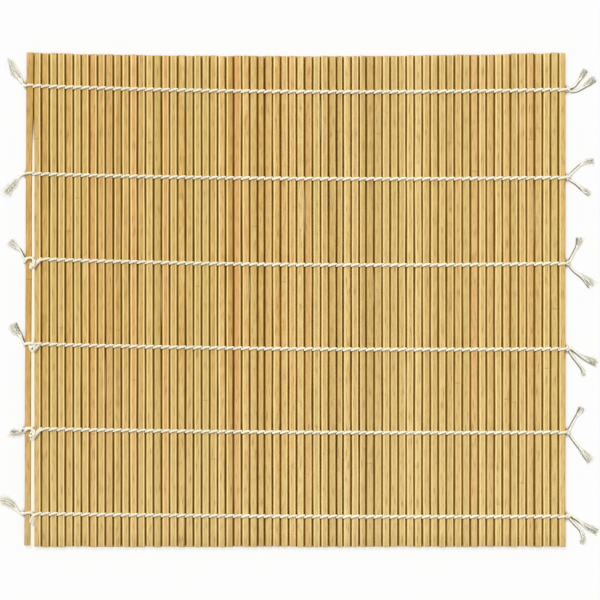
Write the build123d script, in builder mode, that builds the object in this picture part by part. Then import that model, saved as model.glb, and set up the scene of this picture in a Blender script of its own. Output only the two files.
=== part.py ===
from build123d import *
import os
from math import cos, degrees, pi, radians, sin, sqrt, tan

# A sushi rolling mat: bamboo slats side by side, carried by rows of twined cotton thread.
# X runs along the thread rows, Y along the slats and +Z up, and the mat lies on its threads.

# Slats, numbered from the left
slat_count = 68
slat_length = 241.3
slat_width = 2.91
slat_thickness = 1.9
slat_crown = 0.12
slat_edge_radius = 0.3
narrow_slat_shares = {30: 0.80, 40: 0.76, 43: 0.83}
top_end_arc = 1.7
first_slat_lean = 0.25
first_slat_shortfall = 0.7

# Thread
thread_diameter = 0.8
thread_side_clearance = 0.1
thread_lift = 0.08
strand_clearance = 0.3
strand_bend_share = 0.88
floor_flat_share = 0.1

# Thread rows, numbered from the top end: place, fall to the right and bow of each
row_places = (101.5, 59.1, 17.1, -24.0, -64.7, -105.7)
row_falls = (1.9, 1.9, 2.3, 2.5, 1.8, 1.4)
row_bows = (2.05, 1.5, 1.8, 1.3, 0.9, 0.7)

# Knots
side_knot_diameter = 1.7
end_knot_diameter = 2.2
top_knot_length = 4.4
top_knot_width = 3.2
top_knot_height = 1.7
top_knot_rows = (3, 4, 5)
top_knot_turns = {3: 75, 4: 15, 5: -60}

# Groups of slats that stay flat, and the hinge gaps between them
double_group_count = 16
double_group = 2
triple_group = 3
hinge_slit = 0.06
groove_margin = 1.0

# The mat rolled up, from its left edge, into a spiral
core_radius = 15.4
layer_clearance = 2.3
tail_fold = 35

# Thread tails, from the knots outwards, as places along X and Y
tail_gap = 0.2
left_tails = {
    1: [[(0, 0), (-1.6, 4.0), (-4.0, 7.4), (-5.2, 10.8), (-7.4, 13.4)]],
    2: [[(0, 0), (-2.6, -2.2), (-4.4, -5.4), (-7.0, -7.6), (-8.0, -11.0)]],
    3: [[(0, 1.0), (-1.4, 4.2), (-3.8, 6.2), (-6.2, 8.8)]],
    4: [[(0, 1.0), (-1.0, 4.4), (-3.0, 7.0), (-4.3, 10.0)]],
    5: [[(0, 0), (-2.4, -1.4), (-4.8, 0.2)]],
    6: [[(0, -0.8), (-2.6, 1.6), (-5.6, 3.8), (-8.4, 5.2), (-11.2, 5.0)]],
}
right_tails = {
    1: [
        [(0, 0.9), (2.6, 1.8), (4.4, 4.4), (6.4, 6.8), (8.0, 9.6)],
        [(0, -0.9), (3.6, -0.6), (7.2, 1.4), (10.4, 3.2), (12.6, 5.2)],
    ],
    2: [
        [(0, 0.9), (2.6, 3.4), (5.4, 6.0), (8.6, 7.8), (11.6, 8.0)],
        [(0, -0.9), (3.0, -2.6), (6.2, -5.6), (9.8, -8.4)],
    ],
    3: [
        [(0, 0.9), (2.0, 4.4), (3.9, 8.4), (4.4, 12.6)],
        [(0, -0.9), (2.4, -3.8), (5.6, -6.2), (8.2, -8.8), (10.4, -11.6)],
    ],
    4: [
        [(0, 0.9), (3.4, -1.6), (7.0, -4.8), (10.4, -6.4), (13.2, -7.4)],
        [(0, -0.9), (2.2, -4.4), (4.6, -7.4), (6.6, -10.2), (7.0, -12.8)],
    ],
    5: [
        [(0, 0.9), (1.8, 4.6), (4.0, 8.4), (5.8, 12.0)],
        [(0, -0.9), (2.6, -4.6), (5.4, -8.2), (7.6, -11.4), (9.8, -14.2)],
    ],
    6: [
        [(0, 0.9), (3.6, -1.4), (7.4, -4.4), (10.8, -6.2), (13.6, -7.6)],
        [(0, -0.9), (2.6, -3.8), (5.4, -6.6), (6.8, -10.0), (6.0, -13.2)],
    ],
}
tail_arc_share = 0.45

# Heights and clearances that follow from the sizes above
thread_radius = thread_diameter / 2
slat_gap = thread_diameter + 2 * thread_side_clearance
under_height = thread_radius - floor_flat_share * thread_diameter
slat_bottom = under_height + thread_radius + thread_lift
slat_top = slat_bottom + slat_thickness
over_height = slat_top + thread_lift + thread_radius
mat_thickness = over_height + thread_radius
hinge_height = (slat_bottom + slat_top) / 2
strand_offset = (thread_diameter + strand_clearance) / 2
strand_bend = strand_bend_share * thread_diameter
overrun = 2 * slat_width
row_count = len(row_places)

# Places of the slats across the mat
slat_widths = [slat_width * narrow_slat_shares.get(n, 1) for n in range(1, slat_count + 1)]
mat_width = sum(slat_widths) + (slat_count - 1) * slat_gap
layer_pitch = mat_thickness + layer_clearance
outer_radius = sqrt(core_radius**2 + layer_pitch * mat_width / pi)


def slat_left(number):
    """X of the left edge of a slat."""
    return sum(slat_widths[: number - 1]) + (number - 1) * slat_gap - mat_width / 2


def slat_centre(number):
    """X of the middle of a slat."""
    return slat_left(number) + slat_widths[number - 1] / 2


def across(x):
    """Place across the mat, from -1 at its left edge to 1 at its right."""
    return 2 * x / mat_width


def row_height(row, x):
    """Y of a thread row at x: the rows fall to the right and sag a little in the middle."""
    place = across(x)
    return row_places[row - 1] + row_bows[row - 1] * place**2 - row_falls[row - 1] * place / 2


def lean_shift(row):
    """How far the leaning first slat has moved left at a row."""
    return (row_places[0] - row_places[row - 1]) * tan(radians(first_slat_lean))


def gap_x(gap, row):
    """X of the thread in the gap right of a slat, or outside the first slat for gap 0."""
    if gap == 0:
        return slat_left(1) - slat_gap / 2 - lean_shift(row)
    place = slat_left(gap) + slat_widths[gap - 1] + slat_gap / 2
    return place - lean_shift(row) / 2 if gap == 1 else place


def run_over(slat, row):
    """Both ends of the thread that crosses over a slat, left end first."""
    left, right = gap_x(slat - 1, row), gap_x(slat, row)
    return [
        (left, row_height(row, left) - strand_offset, over_height),
        (right, row_height(row, right) + strand_offset, over_height),
    ]


def run_under(slat, row):
    """Both ends of the thread that passes under a slat, left end first."""
    left, right = gap_x(slat - 1, row), gap_x(slat, row)
    return [
        (left, row_height(row, left) + strand_offset, under_height),
        (right, row_height(row, right) - strand_offset, under_height),
    ]


def middle_of(ends):
    """The point halfway along a run."""
    return tuple((a + b) / 2 for a, b in zip(*ends))


def strand_points(strand, row, first, last):
    """Corners of one strand past the slats first to last, and half way over the next ones."""
    points = []
    for slat in range(max(first - 1, 1), min(last + 1, slat_count) + 1):
        run = run_over(slat, row) if (slat + strand) % 2 else run_under(slat, row)
        if slat < first:
            run = [middle_of(run), run[1]]
        if slat > last:
            run = [run[0], middle_of(run)]
        points += run
    return points


def side_knot(row):
    """Centre of the knot at the left edge."""
    x = gap_x(0, row) + slat_gap / 2 - thread_lift - side_knot_diameter / 2
    return (x, row_height(row, gap_x(0, row)), hinge_height)


def end_knot(row):
    """Centre of the knot at the right edge."""
    x = gap_x(slat_count, row) - slat_gap / 2 + thread_lift + end_knot_diameter / 2
    return (x, row_height(row, gap_x(slat_count, row)), hinge_height)


def strands_of(row, first, last):
    """Corners of each strand of a row that a group of slats carries, with its ends at the knots."""
    odd, even = (strand_points(strand, row, first, last) for strand in (0, 1))
    if last == slat_count:
        return [odd + [end_knot(row)], even + [end_knot(row)]]
    if first > 1:
        return [odd, even]
    if row in top_knot_rows:
        return [odd[::-1] + even]
    return [[side_knot(row)] + odd, [side_knot(row)] + even]


def tube(points, radii):
    """A round thread along straight runs joined by tangent arcs."""
    with BuildPart() as thread:
        with BuildLine() as path:
            FilletPolyline(*points, radius=radii)
        with BuildSketch(Plane(origin=path.line @ 0, z_dir=path.line % 0)):
            Circle(thread_radius)
        sweep(path=path.line)
    return thread.part, path.wire().length


def arc_radii(points):
    """The largest arc at each corner of a tail that its two runs allow."""
    corners = [Vector(*p) for p in points]
    radii = []
    for before, corner, after in zip(corners, corners[1:], corners[2:]):
        turn = (corner - before).get_angle(after - corner)
        shorter = min((corner - before).length, (after - corner).length)
        radii.append(tail_arc_share * shorter / tan(radians(turn / 2)))
    return radii


def heading(x):
    """Angle in degrees that the rolled mat has turned through, from its right end to x."""
    run = slat_centre(slat_count - 1) - x
    turn = outer_radius - sqrt(outer_radius**2 - layer_pitch * run / pi)
    return degrees(2 * pi * turn / layer_pitch)


# Groups of slats, first and last slat of each, from the left
groups = []
while not groups or groups[-1][1] < slat_count:
    first = groups[-1][1] + 1 if groups else 1
    size = double_group if len(groups) < double_group_count else triple_group
    groups.append((first, min(first + size - 1, slat_count)))


def group_centre(group):
    """X of the middle of a group of slats."""
    first, last = group
    return (slat_left(first) + slat_left(last) + slat_widths[last - 1]) / 2


def fold_at(index):
    """Full fold in degrees at the hinge gap to the right of a group."""
    return heading(group_centre(groups[index])) - heading(group_centre(groups[index + 1]))


def group_outline(index):
    """Outline in X and Z of the space that a group's threads keep to over the whole fold."""
    first, last = groups[index]
    top = mat_thickness + top_knot_height
    rise = top - hinge_height
    left = gap_x(first - 1, 1) + hinge_slit / 2
    right = gap_x(last, 1) - hinge_slit / 2
    left_lean = right_lean = 0
    if index == 0:
        left -= overrun
    else:
        left_lean = rise * tan(radians(fold_at(index - 1) / 2 + groove_margin))
    if last == slat_count:
        right += overrun
    else:
        right_lean = rise * tan(radians(fold_at(index) / 2 + groove_margin))
    return [
        (left, 0),
        (right, 0),
        (right, hinge_height),
        (right - right_lean, top),
        (left + left_lean, top),
        (left, hinge_height),
    ]


def write(sub_part, name):
    """Label a finished sub-part and write its file."""
    sub_part.part.label = name
    export_step(sub_part.part, f"parts/{name}.step", write_pcurves=False)


os.makedirs("parts", exist_ok=True)

# Slats, a group of two or three to a sub-part
for first, last in groups:
    with BuildPart() as slats:
        for number in range(first, last + 1):
            x = slat_centre(number)
            top_end = slat_length / 2 - top_end_arc * (1 - across(x) ** 2)
            length = slat_length / 2 + top_end
            lean = 0
            if number == 1:
                lean = radians(first_slat_lean)
                length -= first_slat_shortfall
                x += (top_end - row_places[0]) * tan(lean)
            end_plane = Plane(
                origin=(x, top_end, slat_bottom),
                x_dir=(cos(lean), -sin(lean), 0),
                z_dir=(-sin(lean), -cos(lean), 0),
            )
            half_width = slat_widths[number - 1] / 2
            shoulder = slat_thickness - slat_crown
            with BuildSketch(end_plane):
                with BuildLine():
                    Polyline(
                        (-half_width, shoulder),
                        (-half_width, 0),
                        (half_width, 0),
                        (half_width, shoulder),
                    )
                    ThreePointArc(
                        (half_width, shoulder), (0, slat_thickness), (-half_width, shoulder)
                    )
                face = make_face()
                fillet(face.vertices(), radius=slat_edge_radius)
            extrude(amount=length)
    write(slats, f"slats_{first:02}_{last:02}")

# Stitches, the strands of all rows where they pass a group of slats
for index, (first, last) in enumerate(groups):
    strands = [
        tube(points, strand_bend)[0]
        for row in range(1, row_count + 1)
        for points in strands_of(row, first, last)
    ]
    with BuildPart() as stitches:
        add(strands)
        with BuildSketch(Plane.XZ):
            Polygon(*group_outline(index), align=None)
        extrude(amount=slat_length, both=True, mode=Mode.INTERSECT)
        if index == 0:
            with Locations(*[side_knot(r) for r in range(1, row_count + 1) if r not in top_knot_rows]):
                Sphere(side_knot_diameter / 2 + thread_lift, mode=Mode.SUBTRACT)
        if last == slat_count:
            with Locations(*[end_knot(r) for r in range(1, row_count + 1)]):
                Sphere(end_knot_diameter / 2 + thread_lift, mode=Mode.SUBTRACT)
    write(stitches, f"stitches_{first:02}_{last:02}")

# Knots at the left edge: bulky ones on top of three rows, small ones beside the others
with BuildPart() as left_knots:
    for row in top_knot_rows:
        x = gap_x(1, row)
        turn = radians(top_knot_turns[row])
        seat = Plane(
            origin=(x, row_height(row, x), mat_thickness + thread_lift),
            x_dir=(cos(turn), sin(turn), 0),
            z_dir=(0, 0, 1),
        )
        with BuildSketch(seat):
            Ellipse(top_knot_length / 2, top_knot_width / 2)
        with BuildSketch(seat.offset(top_knot_height / 2)):
            Ellipse(top_knot_length / 2, top_knot_width / 2)
        with BuildSketch(seat.offset(top_knot_height)):
            Ellipse(top_knot_length / 4, top_knot_width / 4)
        loft()
    with Locations(*[side_knot(r) for r in range(1, row_count + 1) if r not in top_knot_rows]):
        Sphere(side_knot_diameter / 2)
write(left_knots, "left_knots")

# Knots at the right edge
with BuildPart() as right_knots:
    with Locations(*[end_knot(r) for r in range(1, row_count + 1)]):
        Sphere(end_knot_diameter / 2)
write(right_knots, "right_knots")

# Thread tails, lying on the worktop outside the two edges
left_start = side_knot_diameter / 2 + tail_gap - thread_lift
right_start = end_knot_diameter / 2 - tail_gap
for side, routes in (("left", left_tails), ("right", right_tails)):
    tubes = []
    starts = []
    for row, ends in routes.items():
        for number, places in enumerate(ends, 1):
            if side == "left":
                x = gap_x(0, row) - left_start
                y = row_height(row, gap_x(0, row))
            else:
                x = end_knot(row)[0] + right_start
                y = row_height(row, gap_x(slat_count, row))
            route = [(x + dx, y + dy, thread_radius) for dx, dy in places]
            radii = arc_radii(route)
            thread, length = tube(route, radii)
            tubes.append(thread)
            starts.append(route[0])
            section = pi * thread_radius**2
            print(
                f"{side} tail {row}.{number}: length {length:.1f},",
                f"volume over section times length {thread.volume / section / length:.3f},",
                "radii " + " ".join(f"{r:.1f}" for r in radii),
            )
    with BuildPart() as tails:
        add(tubes)
        with Locations(*starts):
            Sphere(thread_radius)
    write(tails, f"{side}_tails")

print(f"mat {mat_width:.2f} by {slat_length:.2f} by {mat_thickness:.2f}, {len(groups)} groups")
for index in range(len(groups) - 1):
    place = gap_x(groups[index][1], 1)
    print(f"hinge gap {groups[index][1]:02} x {place:.4f} z {hinge_height:.4f} fold {fold_at(index):.4f}")
print(f"left tails x {gap_x(0, 1) - left_start:.4f} z {thread_radius:.4f} fold {tail_fold}")
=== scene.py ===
"""Sushi rolling mat: slim bamboo slats held side by side by rows of twined cotton thread.

X runs along the thread rows, Y along the slats and +Z up. Sizes are in millimetres and are turned to metres
as the meshes are made.
"""

import logging
import random
from dataclasses import dataclass, field
from enum import Enum
from math import cos, pi, radians, sin, tan

import bmesh
import bpy
from bmesh.types import BMesh
from bpy.types import ID, Material, Mesh, Node, NodeSocket, NodeTree, Object
from mathutils import Matrix, Vector, noise


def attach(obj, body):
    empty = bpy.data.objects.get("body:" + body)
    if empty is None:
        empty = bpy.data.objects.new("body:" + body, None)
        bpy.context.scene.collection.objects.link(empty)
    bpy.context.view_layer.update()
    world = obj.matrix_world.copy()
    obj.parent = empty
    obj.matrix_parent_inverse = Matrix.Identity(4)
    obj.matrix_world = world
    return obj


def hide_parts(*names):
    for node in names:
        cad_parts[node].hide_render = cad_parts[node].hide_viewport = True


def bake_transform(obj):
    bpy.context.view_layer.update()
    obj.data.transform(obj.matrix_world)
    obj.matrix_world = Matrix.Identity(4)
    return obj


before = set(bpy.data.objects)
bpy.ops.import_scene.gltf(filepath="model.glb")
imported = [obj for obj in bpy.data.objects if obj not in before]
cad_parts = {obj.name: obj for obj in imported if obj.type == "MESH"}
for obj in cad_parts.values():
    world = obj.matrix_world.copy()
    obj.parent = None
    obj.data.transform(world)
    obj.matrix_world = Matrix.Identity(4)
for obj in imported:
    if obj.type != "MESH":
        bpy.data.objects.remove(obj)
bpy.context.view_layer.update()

MM = 0.001
LOG = logging.getLogger("rolling_mat")
Path = tuple[tuple[float, float, float], ...]


def linear(hex_colour: str) -> tuple[float, float, float, float]:
    """Turn an sRGB hex colour into linear values.

    Args:
        hex_colour: colour as #RRGGBB.

    Returns:
        Linear red, green, blue and an alpha of 1.
    """
    shares = [int(hex_colour[i : i + 2], 16) / 255 for i in (1, 3, 5)]
    red, green, blue = (s / 12.92 if s <= 0.04045 else ((s + 0.055) / 1.055) ** 2.4 for s in shares)
    return (red, green, blue, 1.0)


def add_node(
    tree: NodeTree,
    kind: str,
    inputs: dict | None = None,
    stops: tuple = (),
    **settings: object,
) -> Node:
    """Add a node with its settings, and set or link its inputs.

    Args:
        tree: node tree that gets the node.
        kind: Blender's type name of the node.
        inputs: a value or an output socket for each input, by its name or number.
        stops: places and hex colours of a colour ramp.
        settings: attributes of the node.

    Returns:
        The new node.
    """
    made = tree.nodes.new(kind)
    for name, value in settings.items():
        setattr(made, name, value)
    for number, (place, colour) in enumerate(stops):
        elements = made.color_ramp.elements
        element = elements[number] if number < 2 else elements.new(place)
        element.position = place
        element.color = linear(colour)
    for key, value in (inputs or {}).items():
        if isinstance(value, NodeSocket):
            tree.links.new(value, made.inputs[key])
        else:
            made.inputs[key].default_value = value
    return made


def new_material(name: str) -> tuple[Material, NodeTree, Node]:
    """Make an empty material.

    Args:
        name: the material's name.

    Returns:
        The material, its node tree and its output node.
    """
    material = bpy.data.materials.new(name)
    material.use_nodes = True
    tree = material.node_tree
    tree.nodes.clear()
    return material, tree, add_node(tree, "ShaderNodeOutputMaterial")


def link_object(name: str, data: ID) -> Object:
    """Make an object of some data and put it in the scene.

    Args:
        name: the object's name.
        data: its mesh, curve, lamp or camera.

    Returns:
        The new object.
    """
    made = bpy.data.objects.new(name, data)
    bpy.context.scene.collection.objects.link(made)
    return made


def close_mesh(bm: BMesh, name: str) -> Mesh:
    """Turn a bmesh into a mesh.

    Args:
        bm: the bmesh, which is freed.
        name: the mesh's name.

    Returns:
        The mesh.
    """
    mesh = bpy.data.meshes.new(name)
    bm.to_mesh(mesh)
    bm.free()
    return mesh


def body_of(group: tuple[int, int]) -> str:
    """Name of the body that carries a group of slats."""
    return f"slats_{group[0]:02}_{group[1]:02}_group"


@dataclass(frozen=True)
class MatLayout:
    """Places of the slats, the gaps and the thread rows, as the solids have them."""

    slat_count: int = 68
    slat_length: float = 241.3
    slat_width: float = 2.91
    slat_thickness: float = 1.9
    slat_crown: float = 0.12
    slat_gap: float = 1.0
    slat_bottom: float = 0.8
    narrow_shares: dict[int, float] = field(default_factory=lambda: {30: 0.80, 40: 0.76, 43: 0.83})
    top_end_arc: float = 1.7
    first_slat_lean: float = 0.25
    first_slat_shortfall: float = 0.7
    row_places: tuple[float, ...] = (101.5, 59.1, 17.1, -24.0, -64.7, -105.7)
    row_falls: tuple[float, ...] = (1.9, 1.9, 2.3, 2.5, 1.8, 1.4)
    row_bows: tuple[float, ...] = (2.05, 1.5, 1.8, 1.3, 0.9, 0.7)
    double_group_count: int = 16
    thread_radius: float = 0.4
    strand_offset: float = 0.55
    over_height: float = 3.18
    under_height: float = 0.44
    hinge_height: float = 1.75
    side_knot_radius: float = 0.85
    end_knot_radius: float = 1.1
    knot_lift: float = 0.08
    top_knot_rows: tuple[int, ...] = (3, 4, 5)

    def width_of(self, number: int) -> float:
        """Width of a slat."""
        return self.slat_width * self.narrow_shares.get(number, 1)

    def mat_width(self) -> float:
        """Width of the mat over all its slats."""
        return self.run_of_slats(self.slat_count) + (self.slat_count - 1) * self.slat_gap

    def run_of_slats(self, count: int) -> float:
        """Widths of the first slats added up."""
        return sum(self.width_of(n) for n in range(1, count + 1))

    def left_of(self, number: int) -> float:
        """X of the left edge of a slat."""
        return self.run_of_slats(number - 1) + (number - 1) * self.slat_gap - self.mat_width() / 2

    def across(self, x: float) -> float:
        """Place across the mat, from -1 at its left edge to 1 at its right."""
        return 2 * x / self.mat_width()

    def rows(self) -> range:
        """Numbers of the thread rows, from the top end."""
        return range(1, len(self.row_places) + 1)

    def row_middle(self, row: int) -> float:
        """Y of a thread row before its fall and bow."""
        return self.row_places[row - 1]

    def row_shift(self, row: int, x: float) -> float:
        """How far fall and bow move a row along Y at x."""
        place = self.across(x)
        return self.row_bows[row - 1] * place**2 - self.row_falls[row - 1] * place / 2

    def row_height(self, row: int, x: float) -> float:
        """Y of a thread row at x."""
        return self.row_middle(row) + self.row_shift(row, x)

    def lean_shift(self, row: int) -> float:
        """How far left the leaning first slat stands at a row."""
        return (self.row_places[0] - self.row_middle(row)) * tan(radians(self.first_slat_lean))

    def gap_x(self, gap: int, row: int) -> float:
        """X of the gap right of a slat at a row, or outside the first slat for gap 0.

        Args:
            gap: number of the slat left of the gap.
            row: number of the thread row.

        Returns:
            The place across the mat.
        """
        if gap == 0:
            return self.left_of(1) - self.slat_gap / 2 - self.lean_shift(row)
        place = self.left_of(gap) + self.width_of(gap) + self.slat_gap / 2
        return place - self.lean_shift(row) / 2 if gap == 1 else place

    def groups(self) -> list[tuple[int, int]]:
        """First and last slat of each group, from the left."""
        found = []
        while not found or found[-1][1] < self.slat_count:
            first = found[-1][1] + 1 if found else 1
            size = 2 if len(found) < self.double_group_count else 3
            found.append((first, first + size - 1))
        return found

    def side_knot(self, row: int) -> Vector:
        """Centre of the knot at the left edge of a row."""
        x = self.gap_x(0, row) + self.slat_gap / 2 - self.knot_lift - self.side_knot_radius
        return Vector((x, self.row_height(row, self.gap_x(0, row)), self.hinge_height))

    def end_knot(self, row: int) -> Vector:
        """Centre of the knot at the right edge of a row."""
        edge = self.gap_x(self.slat_count, row)
        x = edge - self.slat_gap / 2 + self.knot_lift + self.end_knot_radius
        return Vector((x, self.row_height(row, edge), self.hinge_height))


@dataclass(frozen=True)
class SplitBamboo:
    """Split and planed bamboo.

    It gives the eye warm tan strips that each have a tone of their own, with fine lengthwise fibres, rounded
    edges that are partly pale fibre and partly painted highlight, a few joint marks and painted shade on the
    sawn sides. To the right and the lower end it is paler, which is painted light.
    """

    tones: tuple[tuple[float, str], ...] = (
        (0.0, "#B98D39"),
        (0.28, "#CAA146"),
        (0.5, "#D6AA53"),
        (0.72, "#DFB764"),
        (1.0, "#ECCF85"),
    )
    warm_tone: str = "#DF9F58"
    dark_fibre: str = "#9C6B28"
    green_tone: str = "#CDB45E"
    pale_edge_and_highlight: str = "#FFE8A4"
    painted_side_shade: str = "#A1740F"
    joint_mark: str = "#9A7034"
    fibre_width: float = 0.34
    fibre_length: float = 6.0
    streak_width: float = 0.9
    streak_length: float = 42.0
    blotch_size: float = 9.0
    painted_light_wash: str = "#E3CD8F"
    mark_width: float = 0.55
    streak_weight: float = 1.05
    blotch_weight: float = 1.15
    roughness: tuple[float, float] = (0.44, 0.62)
    relief: float = 0.06

    def material(self) -> Material:
        """Build the bamboo's nodes.

        Returns:
            The material.
        """
        made, tree, output = new_material("split_bamboo")
        place = add_node(tree, "ShaderNodeTexCoord").outputs["Object"]
        traits = []
        for name in ("slat_nature", "slat_edges"):
            trait = add_node(tree, "ShaderNodeAttribute", attribute_name=name).outputs["Vector"]
            traits.append(add_node(tree, "ShaderNodeSeparateXYZ", {0: trait}).outputs)
        nature, edges = traits
        across = add_node(tree, "ShaderNodeAttribute", attribute_name="slat_across").outputs["Fac"]
        reach = add_node(tree, "ShaderNodeMath", {0: across}, operation="ABSOLUTE").outputs[0]
        grains = []
        for width, length, detail in (
            (self.streak_width, self.streak_length, 3.0),
            (self.fibre_width, self.fibre_length, 2.0),
            (self.blotch_size / 4, self.blotch_size, 2.0),
        ):
            stretch = (1 / (width * MM), 1 / (length * MM), 1 / (width * MM))
            mapped = add_node(tree, "ShaderNodeMapping", {"Vector": place, "Scale": stretch}).outputs[0]
            grain = add_node(tree, "ShaderNodeTexNoise", {"Vector": mapped, "Scale": 1.0, "Detail": detail})
            grains.append(grain.outputs["Fac"])
        streak, fibre, blotch = grains

        shade = nature[0]
        for grain, weight in ((streak, self.streak_weight), (blotch, self.blotch_weight)):
            factors = {0: grain, 1: weight, 2: -weight / 2}
            centred = add_node(tree, "ShaderNodeMath", factors, operation="MULTIPLY_ADD")
            shade = add_node(tree, "ShaderNodeMath", {0: shade, 1: centred.outputs[0]}).outputs[0]
        colour = add_node(tree, "ShaderNodeValToRGB", {"Fac": shade}, stops=self.tones).outputs["Color"]

        sideways, along = add_node(tree, "ShaderNodeSeparateXYZ", {0: place}).outputs[:2]
        from_mark = add_node(tree, "ShaderNodeMath", {0: along, 1: nature[2]}, operation="SUBTRACT")
        from_mark = from_mark.outputs[0]
        from_mark = add_node(tree, "ShaderNodeMath", {0: from_mark}, operation="ABSOLUTE").outputs[0]
        covers = (
            (nature[1], 0.0, 1.0, 0.0, 0.64, self.warm_tone),
            (edges[2], 0.0, 1.0, 0.0, 0.7, self.green_tone),
            # painted light: the slats are washed paler toward the lower end and toward the right, as the
            # light falls there
            (along, 0.0, -0.12, 0.0, 0.38, self.painted_light_wash),
            (sideways, -0.04, 0.03, 0.0, 0.27, self.painted_light_wash),
            (fibre, 0.5, 0.7, 0.0, 0.75, self.dark_fibre),
            (from_mark, 0.0, self.mark_width * MM, 0.55, 0.0, self.joint_mark),
            # the pale edge is partly the edge's own pale fibre and partly a painted highlight where the
            # rounded edge meets the light
            (across, -0.54, -0.7, 0.0, edges[0], self.pale_edge_and_highlight),
            (across, 0.54, 0.7, 0.0, edges[1], self.pale_edge_and_highlight),
            # painted shade: the sides, most of all the bulging bellies, are darkened to stand for the shade
            # in the gaps
            (reach, 0.99, 1.04, 0.0, 1.0, self.painted_side_shade),
        )
        for value, low, high, start, end, cover in covers:
            span = {0: value, 1: low, 2: high, 3: start, 4: end}
            share = add_node(tree, "ShaderNodeMapRange", span, interpolation_type="SMOOTHSTEP").outputs[0]
            mix = {0: share, 6: colour, 7: linear(cover)}
            colour = add_node(tree, "ShaderNodeMix", mix, data_type="RGBA").outputs[2]

        smooth, coarse = self.roughness
        rough = add_node(tree, "ShaderNodeMapRange", {0: fibre, 3: smooth, 4: coarse}).outputs[0]
        height = add_node(tree, "ShaderNodeMath", {0: fibre, 1: streak}).outputs[0]
        relief = {"Strength": 0.45, "Distance": self.relief * MM, "Height": height}
        bump = add_node(tree, "ShaderNodeBump", relief)
        shader = add_node(
            tree,
            "ShaderNodeBsdfPrincipled",
            {"Base Color": colour, "Roughness": rough, "IOR": 1.5, "Normal": bump.outputs[0]},
        )
        tree.links.new(shader.outputs[0], output.inputs["Surface"])
        return made


@dataclass(frozen=True)
class TwistedCotton:
    """Plied cotton thread, undyed.

    It gives the eye a matt warm white with soft fuzz, and a painted shade that darkens it a little where the
    fibres lie low. Where the attribute thread_shade is 1 it has the grey of the painted shadow line along
    the tails.
    """

    name: str = "plied_cotton"
    light: str = "#FFFCEA"
    painted_hollow_shade: str = "#F2E8CC"
    # the grey of the painted shadow line on the tails
    shaded: str = "#88836C"
    fibre_width: float = 0.16
    fibre_length: float = 0.7
    fibre_turn: float = 38.0
    relief: float = 0.05

    def material(self) -> Material:
        """Build the cotton's nodes.

        Returns:
            The material.
        """
        made, tree, output = new_material(self.name)
        place = add_node(tree, "ShaderNodeTexCoord").outputs["Object"]
        stretch = (1 / (self.fibre_length * MM), 1 / (self.fibre_width * MM), 1 / (self.fibre_width * MM))
        turn = (0.0, 0.0, radians(self.fibre_turn))
        placing = {"Vector": place, "Rotation": turn, "Scale": stretch}
        mapped = add_node(tree, "ShaderNodeMapping", placing).outputs[0]
        fibre = add_node(tree, "ShaderNodeTexNoise", {"Vector": mapped, "Scale": 1.0, "Detail": 3.0})
        fibre = fibre.outputs["Fac"]
        # painted shade: the colour darkens where the fibre noise, which is also the bump's height, is low
        stops = ((0.3, self.painted_hollow_shade), (0.55, self.light))
        colour = add_node(tree, "ShaderNodeValToRGB", {"Fac": fibre}, stops=stops).outputs["Color"]
        shade = add_node(tree, "ShaderNodeAttribute", attribute_name="thread_shade").outputs["Fac"]
        mix = {0: shade, 6: colour, 7: linear(self.shaded)}
        colour = add_node(tree, "ShaderNodeMix", mix, data_type="RGBA").outputs[2]
        relief = {"Strength": 0.6, "Distance": self.relief * MM, "Height": fibre}
        bump = add_node(tree, "ShaderNodeBump", relief)
        shader = add_node(
            tree,
            "ShaderNodeBsdfPrincipled",
            {
                "Base Color": colour,
                "Roughness": 0.92,
                "Specular IOR Level": 0.2,
                "Sheen Weight": 0.25,
                "Sheen Roughness": 0.5,
                "Normal": bump.outputs[0],
            },
        )
        tree.links.new(shader.outputs[0], output.inputs["Surface"])
        return made


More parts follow.
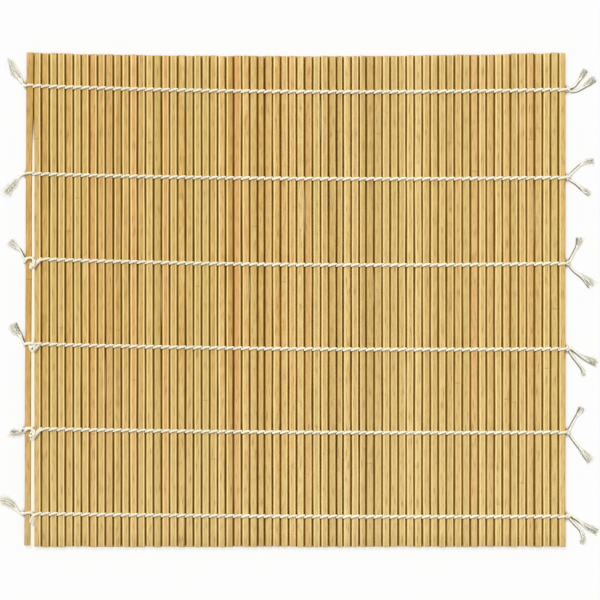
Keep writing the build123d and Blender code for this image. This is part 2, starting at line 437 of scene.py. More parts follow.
@dataclass
class SlatGroups:
    """The bamboo slats, two or three to a piece."""

    layout: MatLayout
    edge_round: float = 0.32
    end_round: float = 0.14
    side_bulge: float = 0.44
    first_slat_flare: float = 0.5
    thread_room: float = 1.0
    wander: float = 0.15
    width_wander: float = 0.05
    end_wander: float = 0.22
    wander_length: float = 34.0
    ring_pitch: float = 6.9
    row_rings: tuple[float, ...] = (-1.4, -1.0, 1.0, 1.4)
    marked_share: float = 0.4
    splinter_share: float = 0.16
    no_mark: float = 9.0
    thread_blend: float = 0.4
    cuts_across: tuple[float, ...] = (-0.28, 0, 0.28)
    cuts_up: tuple[float, ...] = (0.26, 0.5)
    belly: tuple[float, float] = (0.2, 0.6)
    belly_mark: float = 1.1
    flare_start: float = 72.0
    flare_run: float = 22.0
    lift_wander: float = 0.04
    wander_waves: Path = ((7.31, 1.0, 0.0), (3.17, 1.7, 5.0), (5.73, 0.6, 9.0))
    splinter_lengths: tuple[float, float] = (14, 32)
    splinter_width: float = 0.2
    splinter_depth: float = 0.16
    splinter_height: float = 1.35
    splinter_bow: float = 0.14
    splinter_tone: float = 0.86

    def ring_places(self) -> list[float]:
        """Places along a slat at which its mesh is cut, more of them beside the thread rows."""
        layout = self.layout
        places = [row + offset for row in layout.row_places for offset in self.row_rings]
        bounds = [layout.slat_length / 2, *layout.row_places, -layout.slat_length / 2]
        for upper, lower in zip(bounds, bounds[1:]):
            count = max(2, round((upper - lower) / self.ring_pitch))
            places += [upper + (lower - upper) * step / count for step in range(1, count)]
        return sorted(places)

    def bulge_at(self, y: float) -> float:
        """Share of the side bulge at a place along a slat: none where a thread passes."""
        nearest = min(abs(y - row) for row in self.layout.row_places)
        return min(1.0, max(0.0, (nearest - self.thread_room) / self.thread_blend))

    def blank(self) -> Mesh:
        """Make one straight slat, lying on z = 0, which all the others are bent from.

        Returns:
            The slat's mesh, with its place across as an attribute.
        """
        layout = self.layout
        height = layout.slat_thickness - layout.slat_crown
        half_length = layout.slat_length / 2
        bm = bmesh.new()
        size = Matrix.Diagonal((layout.slat_width, layout.slat_length, height, 1))
        bmesh.ops.create_cube(bm, size=1, matrix=Matrix.Translation((0, 0, height / 2)) @ size)
        for along, radius, steps in ((True, self.edge_round, 3), (False, self.end_round, 1)):
            if along:
                edges = [e for e in bm.edges if abs(e.verts[0].co.y - e.verts[1].co.y) > 1]
            else:
                edges = [e for e in bm.edges if all(abs(v.co.y) > half_length - 0.001 for v in e.verts)]
            bmesh.ops.bevel(
                bm, geom=edges, offset=radius, segments=steps, profile=0.5, affect="EDGES", material=-1
            )
        cuts = [((share * layout.slat_width, 0, 0), (1, 0, 0)) for share in self.cuts_across]
        cuts += [((0, 0, share * height), (0, 0, 1)) for share in self.cuts_up]
        cuts += [((0, y, 0), (0, 1, 0)) for y in self.ring_places()]
        for point, normal in cuts:
            geometry = bm.verts[:] + bm.edges[:] + bm.faces[:]
            bmesh.ops.bisect_plane(bm, geom=geometry, dist=1e-4, plane_co=point, plane_no=normal)
        across = bm.verts.layers.float.new("slat_across")
        half_width = layout.slat_width / 2
        for vert in bm.verts:
            share = vert.co.x / half_width
            if abs(share) > 0.999 and self.belly[0] < vert.co.z / height < self.belly[1]:
                bulge = self.side_bulge * self.bulge_at(vert.co.y)
                # the belly is pushed past the edge share so that it takes the painted side shade
                share *= self.belly_mark
                vert.co.x += bulge if share > 0 else -bulge
            if vert.co.z > height / 2:
                vert.co.z += layout.slat_crown * max(0.0, 1 - share**2)
            vert[across] = share
        return close_mesh(bm, "slat_blank")

    def along(self, number: int, y: float, ends: tuple[float, float]) -> float:
        """Move a place along the straight slat to where it is on a slat of the mat.

        Args:
            number: number of the slat.
            y: place along the straight slat.
            ends: how far this slat's bottom and top end stand off the straight one's.

        Returns:
            The place along Y.
        """
        layout = self.layout
        centre = layout.left_of(number) + layout.width_of(number) / 2
        half = layout.slat_length / 2
        upper, shift = half, ends[1]
        marks = [(layout.row_middle(row), layout.row_shift(row, centre)) for row in layout.rows()]
        for lower, next_shift in marks + [(-half, ends[0])]:
            if y >= lower - 0.01:
                break
            upper, shift = lower, next_shift
        return y + shift + (next_shift - shift) * (upper - y) / (upper - lower)

    def lay_slat(self, bm: BMesh, blank: Mesh, number: int) -> None:
        """Add one slat to a group's mesh, with its own width, waver, tone and joint mark.

        Args:
            bm: the group's mesh.
            blank: the straight slat.
            number: number of the slat.
        """
        layout = self.layout
        draw = random.Random(700 + number)
        width = layout.width_of(number)
        centre = layout.left_of(number) + width / 2
        lean = tan(radians(layout.first_slat_lean)) if number == 1 else 0.0
        top = -layout.top_end_arc * (1 - layout.across(centre) ** 2) + draw.uniform(-1, 1) * self.end_wander
        bottom = draw.uniform(-1, 1) * self.end_wander
        if number == 1:
            bottom += layout.first_slat_shortfall
        mark = draw.uniform(-0.1, 0.1) if draw.random() < self.marked_share else self.no_mark
        traits = Vector((draw.uniform(0.2, 0.8), draw.random() ** 2, mark))
        close = (number > 2, 1 < number < layout.slat_count)
        # how strongly each side shows its pale edge with the painted highlight, and the share of green
        edges = Vector([draw.uniform(0.0, 1.3) * side for side in close] + [draw.random() ** 2])
        half_width = layout.slat_width / 2
        before = len(bm.verts)
        bm.from_mesh(blank)
        bm.verts.ensure_lookup_table()
        nature = bm.verts.layers.float_vector["slat_nature"]
        edge_layer = bm.verts.layers.float_vector["slat_edges"]
        for vert in bm.verts[before:]:
            x, y, z = vert.co
            if not close[x > 0]:
                x = max(-half_width, min(half_width, x))
            if number == 1 and x > 0:
                opened = min(1.0, max(0.0, (y - self.flare_start) / self.flare_run))
                x += self.first_slat_flare * x / half_width * opened
            waver, swell, lift = (
                noise.noise(Vector((number * step, y / self.wander_length * pace, plane)))
                for step, pace, plane in self.wander_waves
            )
            place_y = self.along(number, y, (bottom, top))
            place_x = centre + x * (width / layout.slat_width) * (1 + self.width_wander * swell)
            place_x += self.wander * waver - lean * (layout.row_middle(1) - y)
            vert.co = Vector((place_x, place_y, layout.slat_bottom + z + self.lift_wander * lift)) * MM
            vert[nature] = traits
            vert[edge_layer] = edges
        if draw.random() < self.splinter_share and 2 < number < layout.slat_count:
            self.add_splinter(bm, number, traits, draw)

    def add_splinter(self, bm: BMesh, number: int, traits: Vector, draw: random.Random) -> None:
        """Add a slim splinter that has lifted off a slat's right edge into the gap.

        Args:
            bm: the group's mesh.
            number: number of the slat.
            traits: the slat's tone, warmth and joint mark.
            draw: the slat's own random numbers.
        """
        layout = self.layout
        row = draw.randint(1, len(layout.row_places) - 1)
        length = draw.uniform(*self.splinter_lengths)
        y = layout.row_middle(row) - 4 - length / 2
        x = layout.left_of(number) + layout.width_of(number) + self.splinter_width
        size = Matrix.Diagonal((self.splinter_width, length, self.splinter_depth, 1))
        place = Matrix.Translation((x, y, layout.slat_bottom + self.splinter_height))
        sliver = bmesh.new()
        across = sliver.verts.layers.float.new("slat_across")
        nature = sliver.verts.layers.float_vector.new("slat_nature")
        edge_layer = sliver.verts.layers.float_vector.new("slat_edges")
        bmesh.ops.create_cube(sliver, size=1, matrix=place @ size)
        long_edges = [e for e in sliver.edges if abs(e.verts[0].co.y - e.verts[1].co.y) > 1]
        bmesh.ops.subdivide_edges(sliver, edges=long_edges, cuts=7, use_grid_fill=True)
        for vert in sliver.verts:
            share = 2 * (vert.co.y - y) / length
            vert.co.x = x + (vert.co.x - x) * (1 - 0.8 * share**2)
            vert.co.x += self.splinter_bow * (1 - share**2)
            vert.co *= MM
            vert[nature] = traits
            vert[edge_layer] = Vector((0.6, 0.6, 0))
            # this place across gives the splinter the pale edge tone with its painted highlight
            vert[across] = self.splinter_tone
        mesh = close_mesh(sliver, "splinter")
        bm.from_mesh(mesh)
        bpy.data.meshes.remove(mesh)

    def build(self, finish: Material) -> list[Object]:
        """Make the slats of every group and set each piece on its body.

        Args:
            finish: the bamboo material.

        Returns:
            The pieces, from the left.
        """
        blank = self.blank()
        pieces = []
        for group in self.layout.groups():
            bm = bmesh.new()
            bm.verts.layers.float.new("slat_across")
            bm.verts.layers.float_vector.new("slat_nature")
            bm.verts.layers.float_vector.new("slat_edges")
            for number in range(group[0], group[1] + 1):
                self.lay_slat(bm, blank, number)
            for face in bm.faces:
                face.smooth = True
            label = f"{group[0]:02}_{group[1]:02}"
            mesh = close_mesh(bm, f"bamboo_{label}")
            mesh.set_sharp_from_angle(angle=radians(50))
            mesh.materials.append(finish)
            piece = link_object(f"bamboo_{label}", mesh)
            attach(piece, body_of(group))
            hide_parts(f"slats_{label}")
            pieces.append(piece)
        bpy.data.meshes.remove(blank)
        return pieces


@dataclass
class Stop:
    """A control point of a yarn: where it is, how thick the yarn is and how far its plies have turned."""

    at: Vector
    swell: float = 1.0
    turn: float = 0.0
    slat: int = 0


@dataclass
class YarnSpinner:
    """Makes meshes of plied yarn, or of single fibres, along routes of control points."""

    radius: float
    plies: int = 3
    ply_depth: float = 0.11
    sides: int = 12
    twist_length: float = 3.1
    finish: Material | None = None

    def profile(self) -> Object:
        """Make the yarn's lobed outline, as a closed curve that is swept along the routes."""
        curve = bpy.data.curves.new("yarn_outline", "CURVE")
        spline = curve.splines.new("POLY")
        spline.points.add(self.sides - 1)
        for number, point in enumerate(spline.points):
            angle = 2 * pi * number / self.sides
            reach = self.radius * MM * (1 + self.ply_depth * cos(self.plies * angle))
            point.co = (reach * cos(angle), reach * sin(angle), 0, 1)
        spline.use_cyclic_u = True
        return link_object("yarn_outline", curve)

    def wind(self, route: list[Stop], start: float = 0.0) -> list[Stop]:
        """Give each control point the turn that the plies have by then.

        Args:
            route: the control points.
            start: length of yarn before the first of them.

        Returns:
            The same control points.
        """
        run = start
        for before, stop in zip([None] + route, route):
            run += (stop.at - before.at).length if before else 0
            stop.turn = 2 * pi * run / self.twist_length
        return route

    def spin(self, name: str, routes: list[list[Stop]], fineness: int = 5, closed: int = 0) -> Object:
        """Sweep the outline along smooth lines through the routes' control points.

        Args:
            name: name of the piece.
            routes: the control points of each yarn.
            fineness: steps between two control points.
            closed: how many of the first routes are closed loops.

        Returns:
            The piece, with its mesh.
        """
        outline = self.profile()
        curve = bpy.data.curves.new(name + "_line", "CURVE")
        curve.dimensions = "3D"
        curve.twist_mode = "MINIMUM"
        curve.bevel_mode = "OBJECT"
        curve.bevel_object = outline
        curve.use_fill_caps = True
        for number, route in enumerate(routes):
            spline = curve.splines.new("NURBS")
            spline.points.add(len(route) - 1)
            for point, stop in zip(spline.points, route):
                point.co = (*(stop.at * MM), 1)
                point.radius = stop.swell
                point.tilt = stop.turn
            spline.order_u = 3
            spline.use_cyclic_u = number < closed
            spline.use_endpoint_u = number >= closed
            spline.resolution_u = fineness
        line = link_object(name + "_line", curve)
        graph = bpy.context.evaluated_depsgraph_get()
        mesh = bpy.data.meshes.new_from_object(line.evaluated_get(graph), depsgraph=graph)
        for spare in (line, outline):
            data = spare.data
            bpy.data.objects.remove(spare)
            bpy.data.curves.remove(data)
        bm = bmesh.new()
        bm.from_mesh(mesh)
        bmesh.ops.remove_doubles(bm, verts=bm.verts[:], dist=1e-7)
        bmesh.ops.recalc_face_normals(bm, faces=bm.faces[:])
        for face in bm.faces:
            face.smooth = True
        bm.to_mesh(mesh)
        bm.free()
        mesh.name = name
        mesh.materials.clear()
        mesh.materials.append(self.finish)
        return link_object(name, mesh)


@dataclass
class TwinedRows:
    """The six rows of thread, two strands each, cut into spans from one group of slats to the next."""

    layout: MatLayout
    yarn: YarnSpinner
    bend_reach: float = 1.25
    over_swell: float = 1.5
    bend_swell: float = 1.15
    under_swell: float = 0.95
    gap_swell: float = 0.9
    over_lift: float = 0.1
    over_bow: float = 0.22
    edge_slope: float = 0.3
    gap_drops: dict[int, float] = field(default_factory=lambda: {3: 2.7, 4: 0.5, 5: 3.2, 6: 0.7})

    def run(self, slat: int, row: int, over: bool) -> tuple[Vector, Vector]:
        """Both ends of a strand's run past a slat.

        Args:
            slat: number of the slat.
            row: number of the thread row.
            over: whether the strand passes over the slat.

        Returns:
            The left and the right end.
        """
        layout = self.layout
        side = 1 if over else -1
        height = layout.over_height + self.over_lift if over else layout.under_height
        ends = []
        for gap, sign in ((slat - 1, -side), (slat, side)):
            offset = sign * layout.strand_offset
            if gap in (0, layout.slat_count):
                offset *= self.edge_slope
            x = layout.gap_x(gap, row)
            y = layout.row_height(row, x) + offset
            if gap == 1 and sign < 0:
                y -= self.gap_drops.get(row, 0)
            ends.append(Vector((x, y, height)))
        return ends[0], ends[1]

    def strand(self, strand: int, row: int) -> list[Stop]:
        """Control points of a whole strand, from its left end to its knot at the right.

        Args:
            strand: 0 or 1, the strands that pass over odd or even slats.
            row: number of the thread row.

        Returns:
            The control points, of which each slat's middle one is marked.
        """
        layout = self.layout
        edge = layout.gap_x(0, row)
        if row in layout.top_knot_rows:
            start = Vector((edge - 0.12, layout.row_height(row, edge), layout.hinge_height))
        else:
            start = layout.side_knot(row)
        stops = [Stop(start, self.bend_swell)]
        for slat in range(1, layout.slat_count + 1):
            over = (slat + strand) % 2 == 1
            left, right = self.run(slat, row, over)
            if slat > 1:
                stops.append(Stop((stops[-1].at + left) / 2, self.gap_swell))
            swell = self.over_swell if over else self.under_swell
            reach = (right - left).normalized() * self.bend_reach
            bow = Vector((0, self.over_bow if over else 0, 0))
            stops.append(Stop(left, self.bend_swell))
            stops.append(Stop(left + reach + bow, swell))
            stops.append(Stop((left + right) / 2 + bow, swell, slat=slat))
            stops.append(Stop(right - reach + bow * 0.6, swell))
            stops.append(Stop(right, self.bend_swell))
        stops.append(Stop(layout.end_knot(row), self.bend_swell))
        return self.yarn.wind(stops)

    def build(self) -> list[Object]:
        """Make a span of thread over each hinge gap.

        Returns:
            The spans, from the left.
        """
        layout = self.layout
        groups = layout.groups()
        strands = [self.strand(strand, row) for row in layout.rows() for strand in (0, 1)]
        pieces = []
        for left, right in zip(groups, groups[1:]):
            routes = []
            for stops in strands:
                marks = {stop.slat: place for place, stop in enumerate(stops) if stop.slat}
                first = marks[sum(left) // 2] if left[0] > 1 else 0
                last = marks[sum(right) // 2] if right[1] < layout.slat_count else len(stops) - 1
                routes.append(stops[first : last + 1])
            hinge = layout.gap_x(left[1], 3)
            piece = self.yarn.spin(f"thread_span_{left[1]:02}_{right[0]:02}", routes)
            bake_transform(piece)
            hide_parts(*(f"stitches_{a:02}_{b:02}" for a, b in (left, right)))
            pieces.append(piece)
        return pieces


class KnotForm(Enum):
    """How a knot is tied: the scale of its loops, how flat they are along Z, and how thick its yarn is."""

    SIDE = (0.19, 1.0, 1.2)
    END = (0.3, 0.9, 1.35)
    TOP = (0.4, 0.75, 1.4)


# The middle of each knot on top, in mm from its row's place in the first gap, and its turn in degrees.
TOP_KNOT_CORES: dict[int, tuple[float, float, float, float]] = {
    3: (-0.35, -3.5, 4.3, 75.0),
    4: (0.4, -1.7, 4.4, 15.0),
    5: (-0.2, -2.7, 4.3, -60.0),
}
# The yarns that cross these knots, and those that hang from others, from the same place.
TOP_KNOT_LOOPS: dict[int, tuple[Path, ...]] = {
    3: (
        ((-4.1, -2.0, 1.9), (-4.0, -1.6, 3.3), (-3.1, 0.0, 3.6), (-1.5, 0.8, 3.9), (0.2, 0.2, 4.5),
         (1.1, -1.2, 4.9), (0.9, -2.8, 4.9), (-0.3, -4.2, 4.5), (-1.5, -3.4, 4.0)),
        ((4.1, -0.2, 3.5), (2.6, -1.5, 3.7), (1.2, -3.2, 4.0), (0.1, -4.8, 4.1), (-0.9, -4.6, 4.0)),
    ),
    4: (
        ((-4.1, -0.6, 2.2), (-3.9, -0.3, 3.4), (-2.4, 0.1, 3.7), (0.2, 0.2, 4.4), (2.6, 0.2, 4.0),
         (4.1, 0.1, 3.6)),
        ((-1.7, -0.7, 3.9), (-1.1, -2.3, 4.1), (-0.2, -3.9, 4.0), (0.9, -3.2, 4.3), (2.3, -1.5, 4.3),
         (3.1, -0.5, 3.9)),
        ((0.2, -0.4, 4.8), (0.2, 1.0, 4.6), (0.4, 2.1, 4.1), (0.2, 3.1, 3.7)),
    ),
    5: (
        ((-4.1, -1.9, 1.9), (-3.9, -1.4, 3.3), (-2.8, -0.2, 3.6), (-1.2, 0.3, 3.9), (0.5, -0.4, 4.4),
         (1.4, -1.5, 4.5), (1.0, -2.9, 4.4)),
        ((0.3, -1.6, 4.2), (-0.5, -3.6, 4.1), (-0.8, -5.4, 3.9), (0.1, -5.2, 3.9), (1.6, -3.3, 3.9),
         (3.0, -1.5, 3.7), (4.2, -0.5, 3.5)),
        ((0.6, -2.4, 4.6), (0.1, -4.4, 4.0), (1.0, -3.9, 4.1), (2.2, -2.0, 3.9), (3.4, -0.7, 3.6)),
    ),
}
HANGING_ENDS: dict[int, tuple[Path, ...]] = {
    6: (
        ((0.5, -0.6, 3.3), (-0.2, -1.9, 3.3), (-0.8, -3.3, 3.0), (-0.9, -4.5, 2.9)),
        ((0.0, -1.4, 3.2), (0.2, -2.7, 3.0), (0.4, -4.2, 2.6), (0.2, -5.8, 2.2)),
    )
}


@dataclass
class Knots:
    """The overhand knots at both ends of the thread rows."""

    layout: MatLayout
    yarn: YarnSpinner
    loop_points: int = 15
    top_swell: float = 1.45

    def loops(self, centre: Vector, form: KnotForm, turn: float) -> list[Stop]:
        """Control points of one pulled-tight overhand knot.

        Args:
            centre: middle of the knot.
            form: how it is tied.
            turn: how far it is turned about Z, in degrees.

        Returns:
            The control points of a closed loop.
        """
        scale, flat, swell = form.value
        turned = Matrix.Rotation(radians(turn), 3, "Z")
        stops = []
        for number in range(self.loop_points):
            t = 2 * pi * number / self.loop_points
            loop = Vector((sin(t) + 2 * sin(2 * t), cos(t) - 2 * cos(2 * t), -2 * flat * sin(3 * t)))
            stops.append(Stop(centre + turned @ (loop * scale), swell))
        self.yarn.wind(stops)
        return stops

    def routes_from(self, row: int, paths: tuple[Path, ...]) -> list[list[Stop]]:
        """Place a row's free routes at its first gap.

        Args:
            row: number of the thread row.
            paths: points from the row's place in the first gap, with their height over the floor.

        Returns:
            The routes' control points.
        """
        x = self.layout.gap_x(1, row)
        origin = Vector((x, self.layout.row_height(row, x), 0))
        return [
            self.yarn.wind([Stop(origin + Vector(point), self.top_swell) for point in path])
            for path in paths
        ]

    def build(self) -> list[Object]:
        """Make the knots at the left edge and at the right edge.

        Returns:
            The left and the right piece.
        """
        layout = self.layout
        rings, ends = [], []
        for row in layout.rows():
            if row in layout.top_knot_rows:
                x, y, z, turn = TOP_KNOT_CORES[row]
                gap = layout.gap_x(1, row)
                centre = Vector((gap + x, layout.row_height(row, gap) + y, z))
                rings.append(self.loops(centre, KnotForm.TOP, turn))
                ends += self.routes_from(row, TOP_KNOT_LOOPS[row])
            else:
                rings.append(self.loops(layout.side_knot(row), KnotForm.SIDE, 40.0 * row))
                ends += self.routes_from(row, HANGING_ENDS.get(row, ()))
        left = self.yarn.spin("yarn_knots_left", rings + ends, closed=len(rings))
        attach(left, body_of(layout.groups()[0]))
        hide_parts("left_knots")
        rings = [self.loops(layout.end_knot(row), KnotForm.END, 50.0 * row) for row in layout.rows()]
        right = self.yarn.spin("yarn_knots_right", rings, closed=len(rings))
        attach(right, body_of(layout.groups()[-1]))
        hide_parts("right_knots")
        return [left, right]


@dataclass(frozen=True)
class TailForm:
    """One loose thread end: where it lies, and how its yarn opens into fibres.

    The route's places are in mm from the knot. From the share of the route called opening, the fibres
    spread to the width spread, in mm; a closing of 1 brings them together again at the tip. A lean of 0.5
    moves them half the width to the left of the route. The painted shadow line, a grey ply along the yarn's
    shaded side, lies on the left for 1, on the right for -1.
    """

    route: tuple[tuple[float, float], ...]
    opening: float = 0.3
    spread: float = 3.4
    closing: float = 0.0
    lean: float = 0.0
    shadow_side: int = 0

    def width(self, share: float) -> float:
        """Find how wide the opened yarn is at a share of the route."""
        opened = max(0.0, (share - self.opening) / (1.05 - self.opening))
        return self.spread * opened**0.8 * (1 - self.closing * opened**1.5)


# The tails of each row, from the top one.
LEFT_TAILS: dict[int, tuple[TailForm, ...]] = {
    1: (TailForm(((0, 0), (-1.6, 4.0), (-4.0, 7.4), (-5.2, 10.8), (-7.4, 13.4)), 0.02, 11.0, 0.95, 0.3),),
    2: (TailForm(((0, 0), (-2.6, -2.2), (-4.4, -5.4), (-7.0, -7.6), (-8.0, -11.0)), 0.05, 9.5, 0.45),),
    3: (TailForm(((0, 1.0), (-1.4, 4.2), (-3.8, 6.2), (-6.2, 8.8)), 0.3, 7.0, 0.35, 0.1, -1),),
    4: (TailForm(((0, 1.0), (-1.0, 4.4), (-3.0, 7.0), (-4.3, 10.0)), 0.1, 7.5, 0.35, 0.25, -1),),
    5: (TailForm(((0, 0), (-2.4, -1.4), (-4.8, 0.2)), 0.0, 7.5, 0.0, 0.35, 1),),
    6: (TailForm(((0, -0.8), (-2.6, 1.6), (-5.6, 3.8), (-8.4, 5.2), (-11.2, 5.0)), 0.1, 8.5, 0.4, -0.25),),
}
RIGHT_TAILS: dict[int, tuple[TailForm, ...]] = {
    1: (
        TailForm(((0, 0.9), (2.6, 1.8), (4.4, 4.4), (6.4, 6.8), (8.0, 9.6)), shadow_side=-1),
        TailForm(((0, -0.9), (3.6, -0.6), (7.2, 1.4), (10.4, 3.2), (12.6, 5.2)), 0.3, 4.2, 0.0, 0.2, -1),
    ),
    2: (
        TailForm(((0, 0.9), (2.6, 3.4), (5.4, 6.0), (8.6, 7.8), (11.6, 8.0)), 0.4, 4.0, 0.1, 0.1, 1),
        TailForm(((0, -0.9), (3.0, -2.6), (6.2, -5.6), (9.8, -8.4)), 0.3, 3.6, 0.1, 0.1, -1),
    ),
    3: (
        TailForm(((0, 0.9), (2.0, 4.4), (3.9, 8.4), (4.4, 12.6)), 0.45, 4.0, 0.0, -0.25, 1),
        TailForm(((0, -0.9), (2.4, -3.8), (5.6, -6.2), (8.2, -8.8), (10.4, -11.6)), 0.3, 4.6, 0, 0.35, -1),
    ),
    4: (
        TailForm(((0, 0.9), (3.4, -1.6), (7.0, -4.8), (10.4, -6.4), (13.2, -7.4)), 0.3, 4.6, 0.0, 0.15, -1),
        TailForm(((0, -0.9), (2.2, -4.4), (4.6, -7.4), (6.6, -10.2), (7.0, -12.8)), 0.5, 2.0, 0.0, 0.0, -1),
    ),
    5: (
        TailForm(((0, 0.9), (1.8, 4.6), (4.0, 8.4), (5.8, 12.0)), 0.55, 3.4, 0.0, -0.2, 1),
        TailForm(((0, -0.9), (2.6, -4.6), (5.4, -8.2), (7.6, -11.4), (9.8, -14.2)), 0.4, 4.4, 0.0, 0.1, -1),
    ),
    6: (
        TailForm(((0, 0.9), (3.6, -1.4), (7.4, -4.4), (10.8, -6.2), (13.6, -7.6)), 0.3, 4.8, 0.0, 0.0, -1),
        TailForm(((0, -0.9), (2.6, -3.8), (5.4, -6.6), (6.8, -10.0), (6.0, -13.2)), 0.5, 3.2, 0.0, 0.1, -1),
    ),
}


@dataclass
class Tails:
    """The loose thread ends outside the knots: yarn that opens into its plies and then into fibres."""

    layout: MatLayout
    yarn: YarnSpinner
    ply: YarnSpinner
    fibre: YarnSpinner
    fibre_count: int = 64
    yarn_swell: float = 1.5
    height: float = 0.7
    left_start: float = 0.97
    right_start: float = 0.9
    strip_taper: float = 0.35
    lowest: float = 0.2
    # span, height and thickness of the painted shadow line
    shadow_span: tuple[float, float] = (0.06, 0.92)
    shadow_height: float = 0.5
    shadow_swell: float = 1.3

    def place(self, route: list[Vector], share: float) -> tuple[Vector, Vector]:
        """Find a place on a route's straight runs.

        Args:
            route: the route's points.
            share: share of its length, which may go a little past its end.

        Returns:
            The place, and the direction across the route there.
        """
        lengths = [(b - a).length for a, b in zip(route, route[1:])]
        left = share * sum(lengths)
        number = 0
        while number < len(lengths) - 1 and left > lengths[number]:
            left -= lengths[number]
            number += 1
        heading = (route[number + 1] - route[number]).normalized()
        return route[number] + heading * left, Vector((-heading.y, heading.x, 0))

    def strip(
        self,
        form: TailForm,
        route: list[Vector],
        span: tuple[float, float],
        lane: float,
        rise: float,
        waver: float,
    ) -> list[Stop]:
        """Control points of one ply or fibre that leaves the yarn and spreads.

        Args:
            form: the tail's form.
            route: the tail's points.
            span: shares of the route where it leaves the yarn and where it ends.
            lane: where it lies in the tail's width, from the middle.
            rise: how far up it ends.
            waver: how far it waves on the way.

        Returns:
            The control points, which taper.
        """
        stops = []
        for step in range(6):
            part = step / 5
            share = span[0] + (span[1] - span[0]) * part
            at, sideways = self.place(route, share)
            at = at + sideways * (lane * form.width(share) + waver * sin(part * 7 + lane * 9) * part)
            at.z = max(self.lowest, at.z + rise * part)
            stops.append(Stop(at, 1.0 - self.strip_taper * part))
        return stops

    def shadow_line(self, form: TailForm, route: list[Vector]) -> list[Stop]:
        """Control points of the painted shadow line: a grey ply that runs along the yarn's shaded side to
        its tip.
        """
        stops = []
        for step in range(9):
            share = self.shadow_span[0] + self.shadow_span[1] * step / 8
            at, sideways = self.place(route, share)
            at = at + sideways * form.shadow_side * max(0.5, 0.22 * form.width(share))
            at.z = self.shadow_height
            stops.append(Stop(at, self.shadow_swell))
        return stops

    def build_side(self, left: bool) -> Object:
        """Make all the tails of one side as one piece.

        Args:
            left: whether they are the left ones.

        Returns:
            The piece.
        """
        layout = self.layout
        table = LEFT_TAILS if left else RIGHT_TAILS
        draw = random.Random(31 if left else 47)
        yarns, plies, fibres, shadow_lines = [], [], [], []
        for row, forms in table.items():
            knot = layout.side_knot(row) if left else layout.end_knot(row)
            start_x = layout.gap_x(0, row) - self.left_start if left else knot.x + self.right_start
            if left and row in layout.top_knot_rows:
                knot = Vector((layout.gap_x(0, row), knot.y, 1.2))
            for form in forms:
                points = [Vector((start_x + x, knot.y + y, self.height)) for x, y in form.route]
                shares = [min(0.7, form.opening + 0.25) * step / 6 for step in range(7)]
                stops = [Stop(knot.copy(), 0.9)]
                stops += [Stop(self.place(points, s)[0], self.yarn_swell * (1 - 0.5 * s)) for s in shares]
                yarns.append(self.yarn.wind(stops))
                for place in (-1, 0, 1):
                    lane = place * 0.25 + draw.uniform(-0.1, 0.1) + form.lean * 0.5
                    span = (form.opening + 0.1, draw.uniform(0.86, 1.0))
                    plies.append(self.strip(form, points, span, lane, draw.uniform(-0.4, 0.1), 0.25))
                for _ in range(self.fibre_count):
                    begin = draw.uniform(form.opening, 0.85)
                    span = (begin, min(1.04, begin + draw.uniform(0.18, 0.6)))
                    lane = draw.gauss(form.lean, 0.27)
                    fibres.append(self.strip(form, points, span, lane, draw.uniform(-0.6, 0.6), 0.35))
                # painted shadow: a grey ply laid along the shaded side of the tail
                if form.shadow_side:
                    shadow_lines.append(self.shadow_line(form, points))
        side = "left" if left else "right"
        parts = [
            self.yarn.spin(f"yarn_tails_{side}", yarns, fineness=4),
            self.ply.spin(f"plies_{side}", plies, fineness=4),
            self.fibre.spin(f"fibres_{side}", fibres, fineness=3),
            self.ply.spin(f"dark_plies_{side}", shadow_lines, fineness=3),
        ]
        sizes = [len(part.data.vertices) for part in parts]
        bm = bmesh.new()
        for part in parts:
            bm.from_mesh(part.data)
        bm.to_mesh(parts[0].data)
        bm.free()
        # the shadow plies, spun last, get thread_shade 1 and so the grey of the painted shadow
        shades = parts[0].data.attributes.new("thread_shade", "FLOAT", "POINT")
        shades.data.foreach_set("value", [0.0] * sum(sizes[:-1]) + [1.0] * sizes[-1])
        for spare in parts[1:]:
            mesh = spare.data
            bpy.data.objects.remove(spare)
            bpy.data.meshes.remove(mesh)
        return parts[0]

    def build(self) -> list[Object]:
        """Make the tails of both sides.

        Returns:
            The left and the right piece.
        """
        layout = self.layout
        groups = layout.groups()
        left = self.build_side(True)
        hinge = layout.gap_x(0, 1) - self.left_start
        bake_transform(left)
        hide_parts("left_tails")
        right = self.build_side(False)
        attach(right, body_of(groups[-1]))
        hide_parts("right_tails")
        return [left, right]


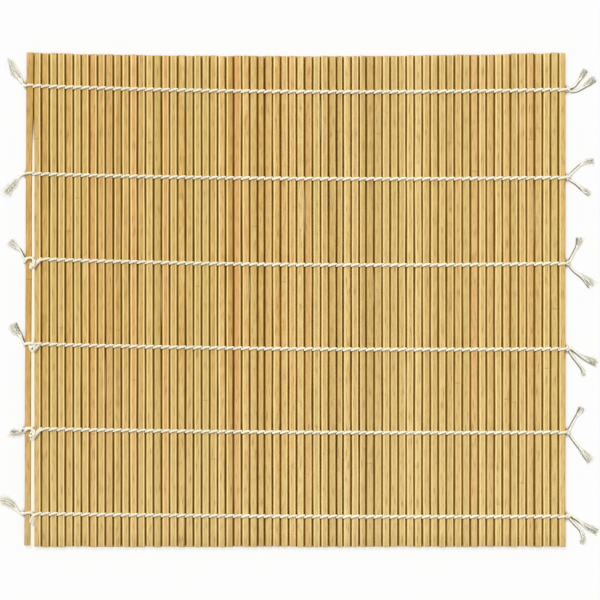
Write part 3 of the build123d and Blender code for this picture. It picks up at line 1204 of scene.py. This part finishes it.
@dataclass
class Studio:
    """Camera, light and floor: the mat is seen from straight above on white.

    The shades are spans of how much of the sky a place on the floor sees: where the glowing slit under the
    first gap fades out, where the floor turns from its painted tan shade to white, and where it is seen
    lighter.
    """

    camera_place: tuple[float, float, float] = (2.0, -0.1, 1500.0)
    view_width: float = 292.8
    mat_top: float = 2.7
    sensor: float = 36.0
    sky: float = 0.55
    sun: float = 1.75
    sun_from: tuple[float, float, float] = (-0.3, 0.62, 1.0)
    floor_size: float = 4000.0
    floor_white: str = "#F6F6F5"
    lit_share: float = 0.72
    slit_share: float = 0.95
    slit_tone: str = "#FFFBE4"
    painted_gap_shade: str = "#A98636"
    shade_reach: float = 2.5
    open_slit: tuple[float, float, float, float] = (-130.6, -127.0, -130.0, 82.0)
    slit_blurs: tuple[float, float] = (0.3, 9.0)
    near_shade: tuple[float, float] = (0.7, 0.95)
    bare_shade: tuple[float, float] = (0.45, 0.75)
    clear_shade: tuple[float, float] = (0.35, 0.6)
    sun_softness: float = 24.0
    view_depth: float = 20.0

    def camera(self) -> None:
        """Look straight down with the photograph's framing."""
        data = bpy.data.cameras.new("camera")
        data.sensor_width = self.sensor
        data.lens = self.sensor * (self.camera_place[2] - self.mat_top) / self.view_width
        data.clip_end = self.view_depth
        made = link_object("camera", data)
        made.location = Vector(self.camera_place) * MM
        bpy.context.scene.camera = made

    def seen_share(self, tree: NodeTree) -> NodeSocket:
        """Add nodes that give 1 for the rays that show the background, and 0 for those that light the mat.

        Args:
            tree: node tree that gets the nodes.

        Returns:
            The output with that value.
        """
        rays = add_node(tree, "ShaderNodeLightPath").outputs
        seen = rays["Is Camera Ray"]
        for kind in ("Is Glossy Ray", "Is Transmission Ray"):
            seen = add_node(tree, "ShaderNodeMath", {0: seen, 1: rays[kind]}, operation="MAXIMUM").outputs[0]
        return seen

    def lights(self) -> None:
        """Light the mat softly from the top of the picture, and the rest evenly."""
        data = bpy.data.lights.new("sun", "SUN")
        data.energy = self.sun
        data.angle = radians(self.sun_softness)
        made = link_object("sun", data)
        made.rotation_euler = Vector(self.sun_from).to_track_quat("Z", "Y").to_euler()
        world = bpy.data.worlds.new("studio")
        bpy.context.scene.world = world
        world.use_nodes = True
        tree = world.node_tree
        tree.nodes.clear()
        seen = self.seen_share(tree)
        strength = add_node(tree, "ShaderNodeMapRange", {0: seen, 3: self.sky, 4: 1.0}).outputs[0]
        sky = add_node(tree, "ShaderNodeBackground", {"Color": linear("#FFFFFF"), "Strength": strength})
        output = add_node(tree, "ShaderNodeOutputWorld")
        tree.links.new(sky.outputs[0], output.inputs["Surface"])

    def floor(self) -> None:
        """Lay a white floor, seen lighter outside the mat, glowing in a slit under the first gap and painted
        with a tan shade under the slats.
        """
        bm = bmesh.new()
        bmesh.ops.create_grid(bm, x_segments=1, y_segments=1, size=self.floor_size * MM / 2)
        mesh = close_mesh(bm, "floor")
        material, tree, output = new_material("white_floor")
        place = add_node(tree, "ShaderNodeTexCoord").outputs["Object"]
        place = add_node(tree, "ShaderNodeSeparateXYZ", {0: place}).outputs
        # painted light: a strip of floor under the first gap glows cream, so that this gap shows light
        box = self.open_slit
        beyond = []
        for axis, low, high, blur in zip(place[:2], box[::2], box[1::2], self.slit_blurs):
            middle = (low + high) / 2 * MM
            away = add_node(tree, "ShaderNodeMath", {0: axis, 1: middle}, operation="SUBTRACT").outputs[0]
            away = add_node(tree, "ShaderNodeMath", {0: away}, operation="ABSOLUTE").outputs[0]
            half = (high - low) / 2
            span = {0: away, 1: (half - blur) * MM, 2: (half + blur) * MM}
            share = add_node(tree, "ShaderNodeMapRange", span, interpolation_type="SMOOTHSTEP")
            beyond.append(share.outputs[0])
        beside = add_node(tree, "ShaderNodeMath", dict(enumerate(beyond)), operation="MAXIMUM")
        edges = {0: beside.outputs[0], 3: self.slit_share, 4: 0.0}
        slit = add_node(tree, "ShaderNodeMapRange", edges).outputs[0]
        reach = self.shade_reach * MM
        sky = add_node(tree, "ShaderNodeAmbientOcclusion", {"Distance": reach}).outputs["AO"]
        shades = []
        for (start, end), low, high in (
            (self.near_shade, 1.0, 0.0),
            (self.bare_shade, 0.0, 1.0),
            (self.clear_shade, 0.0, self.lit_share),
        ):
            span = {0: sky, 1: start, 2: end, 3: low, 4: high}
            shades.append(add_node(tree, "ShaderNodeMapRange", span).outputs[0])
        near, bare, clear = shades
        slit = add_node(tree, "ShaderNodeMath", {0: slit, 1: near}, operation="MULTIPLY").outputs[0]
        seen = self.seen_share(tree)
        lit = add_node(tree, "ShaderNodeMath", {0: clear, 1: slit}, operation="MAXIMUM").outputs[0]
        lit = add_node(tree, "ShaderNodeMath", {0: seen, 1: lit}, operation="MULTIPLY").outputs[0]
        tones = []
        # painted shade: where the floor sees little sky, under the slats, it turns tan to stand for the
        # shade and bounce in the gaps
        for share, first, second in (
            (bare, self.painted_gap_shade, self.floor_white),
            (slit, "#FFFFFF", self.slit_tone),
        ):
            mix = {0: share, 6: linear(first), 7: linear(second)}
            tones.append(add_node(tree, "ShaderNodeMix", mix, data_type="RGBA").outputs[2])
        paper = add_node(tree, "ShaderNodeBsdfDiffuse", {"Color": tones[0]}).outputs[0]
        # emission that makes the open floor white and the slit under the first gap glow as painted light
        white = add_node(tree, "ShaderNodeEmission", {"Color": tones[1], "Strength": 1.0}).outputs[0]
        mixed = add_node(tree, "ShaderNodeMixShader", {0: lit, 1: paper, 2: white})
        tree.links.new(mixed.outputs[0], output.inputs["Surface"])
        mesh.materials.append(material)
        link_object("floor", mesh)

    def build(self) -> None:
        """Set up the view, the light and the floor."""
        self.camera()
        self.lights()
        self.floor()
        bpy.context.scene.view_settings.view_transform = "Standard"


def main() -> None:
    """Build the picture and every piece of the mat, and report each piece."""
    logging.basicConfig(level=logging.INFO, format="%(message)s")
    layout = MatLayout()
    Studio().build()
    bamboo = SplitBamboo().material()
    cotton = TwistedCotton().material()
    yarn = YarnSpinner(layout.thread_radius, finish=cotton)
    loose = TwistedCotton("loose_cotton", "#FFFFF2", "#FFFBE6").material()
    end = YarnSpinner(layout.thread_radius, finish=loose)
    ply = YarnSpinner(radius=0.26, plies=2, ply_depth=0.15, sides=6, finish=loose)
    fibre = YarnSpinner(radius=0.06, ply_depth=0.0, sides=3, finish=loose)
    pieces = SlatGroups(layout).build(bamboo)
    pieces += TwinedRows(layout, yarn).build()
    pieces += Knots(layout, yarn).build()
    pieces += Tails(layout, end, ply, fibre).build()
    for piece in pieces:
        LOG.info("%s: %d faces", piece.name, len(piece.data.polygons))


if __name__ == "__main__":
    main()
